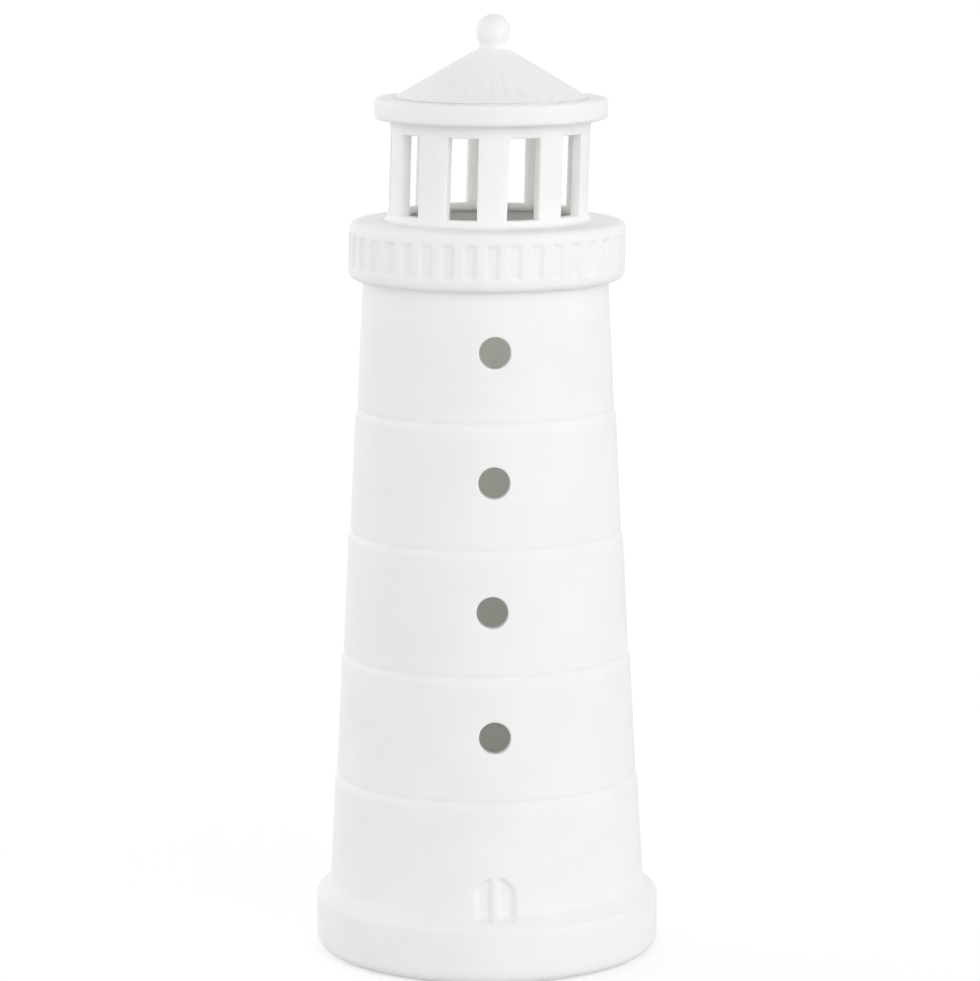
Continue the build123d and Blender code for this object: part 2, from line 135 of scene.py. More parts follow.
def mouldedSilicone():
    # moulded silicone rubber: milky, a little see-through, dry to the eye, with dust in its surface
    finish, shader, place = newFinish("siliconeMoulded", {
        "Roughness": 0.65, "IOR": 1.41, "Subsurface Weight": 0.6, "Subsurface Scale": 1.0 * mm})
    dust = addNode(finish, "ShaderNodeTexNoise", {"Scale": perMetre(1.2), "Detail": 4.0}, {"Vector": place})
    tint = addNode(finish, "ShaderNodeMix", {"data_type": "RGBA", 6: linear("#d9dad6"), 7: linear("#c6c8c4")},
                   {0: dust.outputs["Fac"]})
    bump = addNode(finish, "ShaderNodeBump", {"Strength": 0.2, "Distance": 0.03 * mm},
                   {"Height": dust.outputs["Fac"]})
    wire(finish, shader, {"Base Color": tint.outputs[2], "Normal": bump.outputs["Normal"]})
    return finish


def frostedPolycarbonate():
    # moulded polycarbonate with a blasted inside: lets light through and hides what lies behind it
    finish, shader, place = newFinish("polycarbonateFrosted", {
        "Roughness": 0.5, "IOR": 1.58, "Transmission Weight": 0.35, "Subsurface Weight": 0.5,
        "Subsurface Scale": 2.0 * mm})
    blast = addNode(finish, "ShaderNodeTexNoise", {"Scale": perMetre(0.4), "Detail": 2.0}, {"Vector": place})
    tint = addNode(finish, "ShaderNodeMix", {"data_type": "RGBA", 6: linear("#f3f0e6"), 7: linear("#e9e6da")},
                   {0: blast.outputs["Fac"]})
    bump = addNode(finish, "ShaderNodeBump", {"Strength": 0.3, "Distance": 0.03 * mm},
                   {"Height": blast.outputs["Fac"]})
    wire(finish, shader, {"Base Color": tint.outputs[2], "Normal": bump.outputs["Normal"]})
    return finish


def solderMask():
    # epoxy glass board under a printed solder mask: dark green, raised a little over its copper tracks
    finish, shader, place = newFinish("fibreBoardSolderMasked", {"Roughness": 0.35, "IOR": 1.5})
    tracks = addNode(finish, "ShaderNodeTexBrick", {
        "Scale": perMetre(12), "Mortar Size": 0.06, "Color1": linear("#14532b"), "Color2": linear("#17592f"),
        "Mortar": linear("#2a7a48")}, {"Vector": place})
    bump = addNode(finish, "ShaderNodeBump", {"Strength": 0.5, "Distance": 0.04 * mm},
                   {"Height": tracks.outputs["Fac"]})
    wire(finish, shader, {"Base Color": tracks.outputs["Color"], "Normal": bump.outputs["Normal"]})
    return finish


def phosphorResin():
    # phosphor cast in clear resin: yellow in the middle and glossy
    finish, shader, place = newFinish("phosphorInResin", {"Roughness": 0.2, "IOR": 1.5})
    grains = addNode(finish, "ShaderNodeTexVoronoi", {"Scale": perMetre(0.3)}, {"Vector": place})
    tint = addNode(finish, "ShaderNodeMix", {"data_type": "RGBA", 6: linear("#e6c24a"), 7: linear("#f4dc86")},
                   {0: grains.outputs["Distance"]})
    wire(finish, shader, {"Base Color": tint.outputs[2]})
    return finish


def filmSleeve():
    # plain film shrunk over a steel can: satin grey with faint lengthwise drag lines
    finish, shader, place = newFinish("filmSleeveShrunk", {"Roughness": 0.35, "IOR": 1.5})
    spread = addNode(finish, "ShaderNodeMapping", {"Scale": (1.0, 0.04, 1.0)}, {"Vector": place})
    drag = addNode(finish, "ShaderNodeTexNoise", {"Scale": perMetre(0.6), "Detail": 3.0},
                   {"Vector": spread.outputs["Vector"]})
    tint = addNode(finish, "ShaderNodeMix", {"data_type": "RGBA", 6: linear("#43484d"), 7: linear("#4f555a")},
                   {0: drag.outputs["Fac"]})
    rough = addNode(finish, "ShaderNodeMapRange", {"To Min": 0.28, "To Max": 0.42},
                    {"Value": drag.outputs["Fac"]})
    wire(finish, shader, {"Base Color": tint.outputs[2], "Roughness": rough.outputs["Result"]})
    return finish


def platedSteel(name, light, dark, rough):
    # steel strip or wire with a thin plating: bright, with rolling marks and a few dull patches
    finish, shader, place = newFinish(name, {"Metallic": 1.0})
    drawn = addNode(finish, "ShaderNodeMapping", {"Scale": (1.0, 0.08, 1.0)}, {"Vector": place})
    marks = addNode(finish, "ShaderNodeTexNoise", {"Scale": perMetre(0.35), "Detail": 4.0},
                    {"Vector": drawn.outputs["Vector"]})
    tint = addNode(finish, "ShaderNodeMix", {"data_type": "RGBA", 6: linear(dark), 7: linear(light)},
                   {0: marks.outputs["Fac"]})
    shine = addNode(finish, "ShaderNodeMapRange", {"To Min": rough - 0.08, "To Max": rough + 0.1},
                    {"Value": marks.outputs["Fac"]})
    wire(finish, shader, {"Base Color": tint.outputs[2], "Roughness": shine.outputs["Result"]})
    return finish


porcelain = biscuitPorcelain("biscuitPorcelainSponged", "#f7f7f7", "#f3f3f3", 0.3, 1.5, 0.35)
# the hollow side is smooth where the slip ran off, a little warmer, and glows with the light on the wall's
# far side
porcelainInside = biscuitPorcelain("biscuitPorcelainDrained", "#f6f6f2", "#f2f2ed", 1.0, 6.0, 0.1)
ivoryAbs = mouldedAbs("absIvoryMoulded", "#e2e0d8", "#d6d4cb", 0.7)
blackAbs = mouldedAbs("absBlackMoulded", "#1d1d1f", "#141416", 0.5)
silicone = mouldedSilicone()
frosted = frostedPolycarbonate()
boardGreen = solderMask()
phosphor = phosphorResin()
sleeve = filmSleeve()
nickel = platedSteel("springSteelNickelPlated", "#cfcac0", "#b4afa5", 0.25)
zinc = platedSteel("screwSteelZincPlated", "#b9bcbf", "#989ca0", 0.35)
print("finishes made:", len(bpy.data.materials))


# Tools for turned porcelain and small turned parts

mesher = {
    "smallSteps": 3, "largeSteps": 6, "largeFrom": 1.0,  # steps on a rounding, by its size
    "cornerGap": 0.3,  # share of the pitch that a point keeps from a corner
    "mergeDistance": 1e-7,  # in metres
    "sharpAngle": 60,  # edges sharper than this aren't smoothed over
    "inwards": -0.3,  # a face that leans further than this towards the axis is an inner one
}
# hand-finished clay: lobes round the axis, turn for each millimetre of height, start and strength
clayWaves = [(2, 0.03, 0, 1.0), (3, -0.021, 1, 0.6)]


def softOutline(corners, closed=True):
    # corners are (radius, height, rounding, pitch): each is rounded off, and the straight run after it gets
    # points at its pitch, in steps of height where the run is steep
    ends = []
    for i, (radius, height, rounding, pitch) in enumerate(corners):
        here = np.array([radius, height])
        before = np.array(corners[i - 1][:2]) - here
        after = np.array(corners[(i + 1) % len(corners)][:2]) - here
        if rounding == 0 or (not closed and i in (0, len(corners) - 1)):
            ends.append([here])
            continue
        before, after = before / np.linalg.norm(before), after / np.linalg.norm(after)
        reach = rounding / math.tan(math.acos(np.clip(before @ after, -1, 1)) / 2)
        steps = mesher["smallSteps"] if rounding < mesher["largeFrom"] else mesher["largeSteps"]
        shares = np.linspace(0, 1, steps + 1)
        ends.append([here + before * reach * (1 - t) ** 2 + after * reach * t ** 2 for t in shares])
    points = []
    for i, arc in enumerate(ends):
        points.extend(arc)
        if not closed and i == len(ends) - 1:
            break
        start, stop = arc[-1], ends[(i + 1) % len(ends)][0]
        run, pitch = stop - start, corners[i][3]
        if abs(run[1]) > abs(run[0]):
            low, high = sorted((start[1], stop[1]))
            gap = mesher["cornerGap"] * pitch
            levels = np.arange(math.ceil(low / pitch) * pitch, high, pitch)
            levels = [z for z in levels if low + gap < z < high - gap]
            shares = sorted((z - start[1]) / run[1] for z in levels)
        else:
            length = np.linalg.norm(run)
            shares = np.arange(1, int(length / pitch)) * pitch / length
        points.extend(start + run * share for share in shares)
    return np.array(points)


def turnedGrid(outline, angles, shape=None):
    radius, height = outline[:, :1] + 0 * angles, outline[:, 1:] + 0 * angles
    angle = angles + 0 * radius
    if shape:
        radius, height = shape(angle, radius, height)
    return np.stack([radius * np.cos(angle), radius * np.sin(angle), height], axis=-1)


def gridFaces(rows, columns, closed):
    last = rows if closed else rows - 1
    return [(i * columns + j, i * columns + (j + 1) % columns, (i + 1) % rows * columns + (j + 1) % columns,
             (i + 1) % rows * columns + j) for i in range(last) for j in range(columns)]


def turned(outline, columns, closed=False, shape=None):
    angles = np.arange(columns) * 2 * math.pi / columns
    points = turnedGrid(outline, angles, shape).reshape(-1, 3)
    return points, gridFaces(len(outline), columns, closed)


def smooth(share):
    return share * share * (3 - 2 * share)


def softBand(value, half, softness):
    # 1 within half of zero, 0 outside, with a soft edge
    return smooth(np.clip((half - np.abs(value)) / softness + 0.5, 0, 1))


def handWobble(points, depth):
    # hand-finished clay is never quite round: it falls back by up to twice the depth
    angle = np.arctan2(points[:, 1], points[:, 0])
    height = points[:, 2]
    waves = sum(strength * np.sin(lobes * angle + twist * height + start)
                for lobes, twist, start, strength in clayWaves)
    most = sum(wave[-1] for wave in clayWaves)
    radius = np.hypot(points[:, 0], points[:, 1])
    share = 1 - depth * (1 + waves / most) / np.maximum(radius, 1)
    return np.column_stack([points[:, 0] * share, points[:, 1] * share, height])


def smoothShade(mesh):
    mesh.polygons.foreach_set("use_smooth", [True] * len(mesh.polygons))
    mesh.set_sharp_from_angle(angle=math.radians(mesher["sharpAngle"]))


def newPiece(name, points, faces, finish, body, nodes):
    mesh = bpy.data.meshes.new(name)
    mesh.from_pydata((np.array(points) * mm).tolist(), [], faces)
    work = bmesh.new()
    work.from_mesh(mesh)
    bmesh.ops.remove_doubles(work, verts=work.verts, dist=mesher["mergeDistance"])
    bmesh.ops.dissolve_degenerate(work, edges=work.edges, dist=mesher["mergeDistance"])
    bmesh.ops.recalc_face_normals(work, faces=work.faces)
    work.to_mesh(mesh)
    work.free()
    smoothShade(mesh)
    mesh.materials.append(finish)
    piece = bpy.data.objects.new(name, mesh)
    scene.collection.objects.link(piece)
    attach(piece, body)
    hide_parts(*nodes)
    print("piece made:", name, len(mesh.polygons), "faces")
    return piece


def dressInside(piece):
    # the hollow side of a casting: every face that looks at the axis
    piece.data.materials.append(porcelainInside)
    for face in piece.data.polygons:
        spot, out = face.center, face.normal
        if spot.x * out.x + spot.y * out.y < mesher["inwards"] * math.hypot(spot.x, spot.y):
            face.material_index = 1


# Tower

tower = {
    "wall": 3.5, "topRadius": 36.5, "rimRound": 1.0,
    "plinthHeight": 17.6, "plinthLedge": 4.2, "plinthWall": 4.5, "footRound": 4.2,
    "ledgeDrop": 1.4, "ledgeRound": 1.6, "flareRise": 2.4, "flareBlend": 3.0,
    "courses": 5, "lowestCourse": 35.9, "courseHeight": 36.8, "courseStep": 0.6, "courseBevel": 1.9,
    "edgeBlend": 3.0, "scoreDepth": 0.3, "scoreDrop": 0.4, "scoreRise": 0.8, "scoreRound": 0.3,
    "scoreTopRound": 0.5, "scorePitch": 0.2,
    "recessRadius": 41.19, "recessHeight": 3.0, "recessRound": 0.8, "socketRadius": 35.39, "socketRound": 0.6,
    "socketLipRound": 0.4, "floorTop": 7.0, "hollowRound": 1.5, "hollowCornerRound": 1.2,
    "pitch": 3.7, "finePitch": 0.5, "coarseColumns": 120, "fineHalfAngle": 9.5,
    "wobble": 0.12, "lean": -0.4, "leanHeight": 110.0,  # it leans aside up to this height
}
door = {
    "width": 11.0, "height": 13.4, "depth": 1.6, "bar": 2.8, "softness": 1.5, "shift": -0.1, "foot": 1.0,
    "fineRows": 1.5,  # how far the fine rows of points go on above it
}
roundWindow = {
    "radius": 4.65, "rim": 0.4, "shifts": [0.05, -0.4, 0.25, 0.6], "rises": [0.4, 0.3, 1.2, 1.4],
    "block": 10.4, "blockAngle": 12.6,  # half height and half angle of the faces that each one takes out
    "wallShares": (0.35, 0.65, 0.85, 1.0), "rimTurns": (30, 60, 90), "holeShares": (0.33, 0.67),
}
_, towerHigh = boxOf("tower_shell")
rimHeight = towerHigh[2]
towerBase = towerHigh[0] - tower["plinthLedge"]


def courseLevel(course):
    # top of a course, counted from the plinth; the last one ends at the rim
    if course == tower["courses"]:
        return rimHeight
    return tower["plinthHeight"] + tower["lowestCourse"] + (course - 1) * tower["courseHeight"]


def towerOutline():
    base, plinth, step = towerBase, tower["plinthHeight"], tower["courseStep"]
    coarse, fine, finest = tower["pitch"], tower["finePitch"], tower["scorePitch"]
    height = rimHeight - plinth
    taper = (base - tower["topRadius"] - (tower["courses"] - 1) * step) / height
    doorTop = door["height"] + door["fineRows"]
    outer = [
        (tower["recessRadius"], 0, tower["recessRound"], coarse),
        (towerHigh[0], 0, tower["footRound"], coarse),
        # the plinth's ledge runs up into the wall as a flare of about 45 degrees
        (towerHigh[0], plinth - tower["ledgeDrop"], tower["ledgeRound"], fine),
        (base, plinth + tower["flareRise"], tower["flareBlend"], fine),
        (base - taper * doorTop, plinth + doorTop, 0, coarse),
    ]
    for course in range(1, tower["courses"]):
        # a soft edge on the course below, and a scored line in the corner above it
        level = courseLevel(course)
        foot = base - taper * (level - plinth) - course * step
        outer.append((foot + step, level - tower["courseBevel"], tower["edgeBlend"], finest))
        outer.append((foot - tower["scoreDepth"], level - tower["scoreDrop"], tower["scoreRound"], finest))
        outer.append((foot, level + tower["scoreRise"], tower["scoreTopRound"], coarse))
    outer.append((tower["topRadius"], rimHeight, tower["rimRound"], coarse))
    shoulder = plinth - tower["wall"]
    plinthInside = towerHigh[0] - tower["plinthWall"]
    slope = (base - tower["topRadius"]) / height
    inner = [
        (tower["topRadius"] - tower["wall"], rimHeight, tower["rimRound"], coarse),
        (base - tower["wall"] + slope * tower["wall"], shoulder, tower["hollowRound"], coarse),
        (plinthInside, shoulder, tower["hollowCornerRound"], coarse),
        (plinthInside, tower["floorTop"], tower["hollowRound"], coarse),
        (tower["socketRadius"], tower["floorTop"], tower["socketRound"], coarse),
        (tower["socketRadius"], tower["recessHeight"], tower["socketLipRound"], coarse),
        (tower["recessRadius"], tower["recessHeight"], tower["socketRound"], coarse),
    ]
    return softOutline(outer + inner)


def doorRelief(angle, radius, height):
    # an arch sunk into the lowest course, with a bar left standing in its middle
    across = radius * np.sin(angle - front) - door["shift"]
    up = height - tower["plinthHeight"]
    half = door["width"] / 2
    spring = door["height"] - half
    distance = np.where(up > spring, np.hypot(across, up - spring), np.abs(across))
    sunk = softBand(distance, half, door["softness"])
    bar = softBand(across, door["bar"] / 2, door["softness"])
    outside = (np.cos(angle - front) > 0) & (height > tower["plinthHeight"] + door["foot"])
    outside &= radius > towerBase - tower["wall"] / 2
    return radius - np.where(outside, door["depth"] * sunk * (1 - bar), 0), height


def towerAngles():
    half = math.radians(tower["fineHalfAngle"])
    step = tower["finePitch"] / towerBase
    fine = np.linspace(front - half, front + half, int(2 * half / step) + 1)
    coarse = np.linspace(front + half, front + 2 * math.pi - half, tower["coarseColumns"])[1:-1]
    return np.concatenate([fine, coarse])


def blockLoop(rows, columns, width):
    # vertex numbers round a block of the grid
    loop = [(rows[0], j) for j in columns[:-1]] + [(i, columns[-1]) for i in rows[:-1]]
    loop += [(rows[-1], j) for j in columns[:0:-1]] + [(i, columns[0]) for i in rows[:0:-1]]
    return [i * width + j for i, j in loop]


def cutWindow(points, faces, outline, angles, centre):
    # takes a block of faces out of both walls and leads rings of new ones through the hole between them
    x0, z0 = centre
    width = len(angles)
    offset = (angles - front + math.pi) % (2 * math.pi) - math.pi
    columns = [j for j in range(width) if abs(offset[j]) < math.radians(roundWindow["blockAngle"])]
    columns.sort(key=lambda j: offset[j])
    top = int(np.argmax(outline[:, 1]))
    loops, walls = [], []
    for wall in (range(top), range(top, len(outline))):
        rows = [i for i in wall if abs(outline[i, 1] - z0) < roundWindow["block"]]
        rows.sort(key=lambda i: outline[i, 1])
        loops.append(blockLoop(rows, columns, width))
        faces -= {(min(pair), j) for pair in zip(rows, rows[1:]) for j in columns[:-1]}
        walls.append((outline[rows, 1], outline[rows, 0]))

    def depthAt(wall, x, z):
        return -np.sqrt(np.interp(z, *walls[wall]) ** 2 - x ** 2)

    def circle(loop, radius):
        edge = np.array([points[v] for v in loop])
        turn = np.unwrap(np.arctan2(edge[:, 2] - z0, edge[:, 0] - x0))
        even = turn[0] + np.arange(len(loop)) * 2 * math.pi / len(loop) * np.sign(turn[-1] - turn[0])
        turn = (turn + even) / 2
        return edge, x0 + radius * np.cos(turn), z0 + radius * np.sin(turn)

    rim, radius = roundWindow["rim"], roundWindow["radius"]
    rings = []
    for wall, inwards in ((0, 1), (1, -1)):
        side = []
        edge, x1, z1 = circle(loops[wall], radius + rim)
        for share in roundWindow["wallShares"]:
            x, z = edge[:, 0] + (x1 - edge[:, 0]) * share, edge[:, 2] + (z1 - edge[:, 2]) * share
            side.append(np.column_stack([x, depthAt(wall, x, z), z]))
        for turn in np.radians(roundWindow["rimTurns"]):
            _, x, z = circle(loops[wall], radius + rim * (1 - math.sin(turn)))
            depth = depthAt(wall, x, z) + inwards * rim * (1 - math.cos(turn))
            side.append(np.column_stack([x, depth, z]))
        rings.append(side)
    outerEdge, innerEdge = rings[0][-1], rings[1][-1]
    between = [outerEdge + (innerEdge - outerEdge) * share for share in roundWindow["holeShares"]]
    loop, extra = loops[0], []
    for ring in rings[0] + between + rings[1][::-1]:
        first = len(points)
        points.extend(ring.tolist())
        fresh = list(range(first, first + len(ring)))
        extra += [(loop[k], loop[k - 1], fresh[k - 1], fresh[k]) for k in range(len(loop))]
        loop = fresh
    extra += [(loop[k], loop[k - 1], loops[1][k - 1], loops[1][k]) for k in range(len(loop))]
    return extra


def makeTower():
    outline, angles = towerOutline(), towerAngles()
    points = turnedGrid(outline, angles, doorRelief).reshape(-1, 3).tolist()
    rows, columns = len(outline), len(angles)
    faces = {(i, j) for i in range(rows) for j in range(columns)}
    extra = []
    for course, shift, rise in zip(range(1, tower["courses"]), roundWindow["shifts"], roundWindow["rises"]):
        level = (courseLevel(course) + courseLevel(course + 1)) / 2 + rise
        extra += cutWindow(points, faces, outline, angles, (shift, level))
    quads = gridFaces(rows, columns, True)
    quads = [quads[i * columns + j] for i, j in sorted(faces)] + extra
    points = handWobble(np.array(points), tower["wobble"])
    points[:, 0] += tower["lean"] * smooth(np.clip(points[:, 2] / tower["leanHeight"], 0, 1))
    dressInside(newPiece("towerShell", points, quads, porcelain, "tower", ["tower_shell"]))


makeTower()

# Lantern top: gallery, cage, roof and ball, luted together, leaning a little to one side

lantern = {"shift": -0.25, "lean": 0.0285, "wobble": 0.06}  # lean for each millimetre above the tower's rim
galleryLow, galleryHigh = boxOf("gallery_ring")
cageLow, cageHigh = boxOf("lantern_cage")
roofLow, roofHigh = boxOf("roof_cap")
ballLow, ballHigh = boxOf("ball_finial")


def leanAt(height):
    return lantern["shift"] + lantern["lean"] * (height - rimHeight)


def leanOver(points):
    points = handWobble(np.array(points), lantern["wobble"])
    points[:, 0] += leanAt(points[:, 2])
    return points


gallery = {
    "round": 3.0, "wall": 3.2, "spigotRadius": 32.5, "spigotBore": 29.5, "lanternBore": 26.75,
    "spigotRound": 0.8, "seatGap": 0.05, "seatRound": 0.3, "deckEdge": 0.1, "deckUnderEdge": 0.5,
    "hollowRound": 1.0, "hollowEdge": 0.6, "pitch": 4, "deckPitch": 3, "facePitch": 0.5,
    "flutes": 39, "fluteTurn": -1.2, "fluteWidth": 3.4, "fluteHeight": 9.6, "fluteDepth": 0.7,
    "fluteSoftness": 0.8, "columnsPerFlute": 14,
}


def fluteRelief(angle, radius, height):
    pitch = 2 * math.pi / gallery["flutes"]
    turn = angle - front - math.radians(gallery["fluteTurn"])
    across = ((turn + pitch / 2) % pitch - pitch / 2) * galleryHigh[0]
    middle = (rimHeight + galleryHigh[2]) / 2
    sunk = softBand(across, gallery["fluteWidth"] / 2, gallery["fluteSoftness"])
    sunk = sunk * softBand(height - middle, gallery["fluteHeight"] / 2, gallery["fluteSoftness"])
    outside = radius > galleryHigh[0] - gallery["wall"] / 2
    return radius - np.where(outside, gallery["fluteDepth"] * sunk, 0), height


def makeGallery():
    radius, deck, wall = galleryHigh[0], galleryHigh[2], gallery["wall"]
    coarse, fine = gallery["pitch"], gallery["deckPitch"]
    seat = rimHeight + gallery["seatGap"]
    outline = softOutline([
        (gallery["spigotBore"], galleryLow[2], gallery["spigotRound"], coarse),
        (gallery["spigotRadius"], galleryLow[2], gallery["spigotRound"], coarse),
        (gallery["spigotRadius"], seat, gallery["seatRound"], fine),
        (radius, seat, gallery["round"], gallery["facePitch"]),
        (radius, deck, gallery["round"], fine),
        (gallery["lanternBore"], deck, gallery["deckEdge"], fine),
        (gallery["lanternBore"], deck - wall, gallery["deckUnderEdge"], coarse),
        (radius - wall, deck - wall, gallery["hollowRound"], coarse),
        (radius - wall, rimHeight + wall, gallery["hollowRound"], coarse),
        (gallery["spigotBore"], rimHeight + wall, gallery["hollowEdge"], coarse),
    ])
    points, faces = turned(outline, gallery["flutes"] * gallery["columnsPerFlute"], True, fluteRelief)
    dressInside(newPiece("galleryRing", leanOver(points), faces, porcelain, "lantern_top",
                         ["gallery_ring"]))


makeGallery()

cage = {
    "windows": 10, "windowAngle": 19.5, "windowHeight": 23.7, "sillHeight": 2.6, "wall": 3.0, "radius": 29.75,
    "cove": 1.2, "footCove": 1.8, "coveShares": (0.0, 0.06, 0.2, 0.42, 0.7, 1.0),
    "edgeRound": 0.45, "edgeSegments": 3, "edgeMargin": 0.1, "edgeAngle": 0.9,  # in radians
    "pillarColumns": 5, "windowColumns": 6, "windowRows": 12,
    "handSeed": 11, "handTurn": 0.35, "handTilt": 0.5, "handHeight": 0.25,
    # degrees to the right by which a window's two edges were cut aside; window 0 is right of the front
    "cutTurns": {8: (0.9, -3.2), 9: (-0.1, -1.6), 0: (-0.7, -1.6), 1: (-1.6, -2.5), 4: (0.8, 0.0),
                 5: (1.8, 0.0)},
}


def makeCage():
    # a ring of filled and empty cells: the faces between them are the clay's surface
    sill = cageLow[2] + cage["sillHeight"]
    head = sill + cage["windowHeight"]
    cove, foot = cage["cove"], cage["footCove"]
    below = [cageLow[2] + foot * share for share in cage["coveShares"]]
    above = [cageHigh[2] - cove * share for share in cage["coveShares"][::-1]]
    heights = below + list(np.linspace(sill, head, cage["windowRows"] + 1)) + above
    sillRow = len(below)
    headRow = sillRow + cage["windowRows"]
    perBay = cage["pillarColumns"] + cage["windowColumns"]
    columns = cage["windows"] * perBay
    bay = 360 / cage["windows"]
    pillar = bay - cage["windowAngle"]

    def outerRadius(z):
        flare = np.clip(z - (cageHigh[2] - cove), 0, cove)
        spread = np.clip(cageLow[2] + foot - z, 0, foot)
        headPart = cove - math.sqrt(cove ** 2 - flare ** 2)
        return cage["radius"] + headPart + foot - math.sqrt(foot ** 2 - spread ** 2)

    hand = np.random.default_rng(cage["handSeed"])
    turns, tilts, lifts = (hand.uniform(-1, 1, (cage["windows"], 2)) * cage[size]
                           for size in ("handTurn", "handTilt", "handHeight"))
    for window, edges in cage["cutTurns"].items():
        turns[window] = edges

    def cellPoint(column, row, layer):
        bayNumber, place = divmod(column % columns, perBay)
        share = np.clip((row - sillRow) / cage["windowRows"], 0, 1)
        left = (bayNumber - 1) % cage["windows"]

        def edgeAngle(start, window, side):
            return start + turns[window][side] + tilts[window][side] * (share - 0.5)

        start = bayNumber * bay - pillar / 2
        pillarStart = edgeAngle(start, left, 1)
        pillarEnd = edgeAngle(start + pillar, bayNumber, 0)
        right = edgeAngle((bayNumber + 1) * bay - pillar / 2, bayNumber, 1)
        if place <= cage["pillarColumns"]:
            angle = pillarStart + (pillarEnd - pillarStart) * place / cage["pillarColumns"]
        else:
            angle = pillarEnd + (right - pillarEnd) * (place - cage["pillarColumns"]) / cage["windowColumns"]
        z = heights[row]
        if place >= cage["pillarColumns"] or place == 0:
            cut = bayNumber if place else left
            for level, lift in zip((sillRow, headRow), lifts[cut]):
                z += lift * softBand(row - level, 1, 1)
        turn = math.radians(angle) + front
        radius = outerRadius(z) if layer else cage["radius"] - cage["wall"]
        return (radius * math.cos(turn), radius * math.sin(turn), z)

    def filled(column, row):
        if not 0 <= row < len(heights) - 1:
            return False
        return column % perBay < cage["pillarColumns"] or not sillRow <= row < headRow

    numbers, points, faces = {}, [], []

    def corner(column, row, layer):
        key = (column % columns, row, layer)
        if key not in numbers:
            numbers[key] = len(points)
            points.append(cellPoint(*key))
        return numbers[key]

    for column in range(columns):
        for row in range(len(heights) - 1):
            if not filled(column, row):
                continue
            near, far = column, column + 1
            for layer in (0, 1):
                faces.append([corner(near, row, layer), corner(far, row, layer), corner(far, row + 1, layer),
                              corner(near, row + 1, layer)])
            for side, beside in ((near, column - 1), (far, column + 1)):
                if not filled(beside % columns, row):
                    faces.append([corner(side, row, 0), corner(side, row, 1), corner(side, row + 1, 1),
                                  corner(side, row + 1, 0)])
            for level, beside in ((row, row - 1), (row + 1, row + 1)):
                if not filled(column, beside):
                    faces.append([corner(near, level, 0), corner(far, level, 0), corner(far, level, 1),
                                  corner(near, level, 1)])
    piece = newPiece("lanternCage", leanOver(points), faces, porcelain, "lantern_top",
                     ["lantern_cage"])
    roundEdges(piece)
    dressInside(piece)


def roundEdges(piece):
    # a sponge reaches the outer edges of the windows only
    work = bmesh.new()
    work.from_mesh(piece.data)
    low, high = cageLow[2] + cage["edgeMargin"], cageHigh[2] - cage["edgeMargin"]

    def outside(vertex):
        x, y, z = vertex.co / mm
        return low < z < high and math.hypot(x - leanAt(z), y) > cage["radius"] - cage["wall"] / 2

    sharp = [edge for edge in work.edges
             if edge.calc_face_angle(0) > cage["edgeAngle"] and all(outside(end) for end in edge.verts)]
    bmesh.ops.bevel(work, geom=sharp, offset=cage["edgeRound"] * mm, segments=cage["edgeSegments"],
                    profile=0.5, affect="EDGES")
    work.to_mesh(piece.data)
    work.free()
    smoothShade(piece.data)


makeCage()

roof = {
    "ledge": 5.5, "thickness": 6.2, "wall": 3.0, "spareWall": 0.6, "bore": 26.75, "topRadius": 5.4,
    "eaveRound": 1.6, "eaveTopRound": 1.2, "rimWidth": 1.9, "rimRound": 0.3,
    "gutter": 1.8, "gutterRound": 0.4,
    "seamDrop": 0.27, "seamHeight": 0.6, "seamDepth": 1.2, "seamRound": 0.1,
    "topRound": 0.6, "ceilingRound": 1.0, "hollowRound": 0.8, "boreRound": 0.4,
    "ribs": 36, "ribDepth": 0.45, "ribTop": 11.0, "ribFade": 12.0, "ribGap": 0.6, "columnsPerRib": 8,
    "pitch": 4, "borePitch": 3, "eavePitch": 1.5, "slopePitch": 1.2, "rimPitch": 1.0, "seamPitch": 0.5,
}


def ribRelief(angle, radius, height):
    # rounded ribs that run down the slope and die out towards the ball
    wave = 0.5 + 0.5 * np.cos((angle - front) * roof["ribs"])
    end = roofHigh[0] - roof["ledge"] - roof["ribGap"]
    fade = np.clip((radius - roof["ribTop"]) / roof["ribFade"], 0, 1) * np.clip(end - radius, 0, 1)
    slope = height > roofLow[2] + roof["thickness"] - roof["gutter"]
    return radius, height - np.where(slope, roof["ribDepth"] * (1 - wave) * fade, 0)


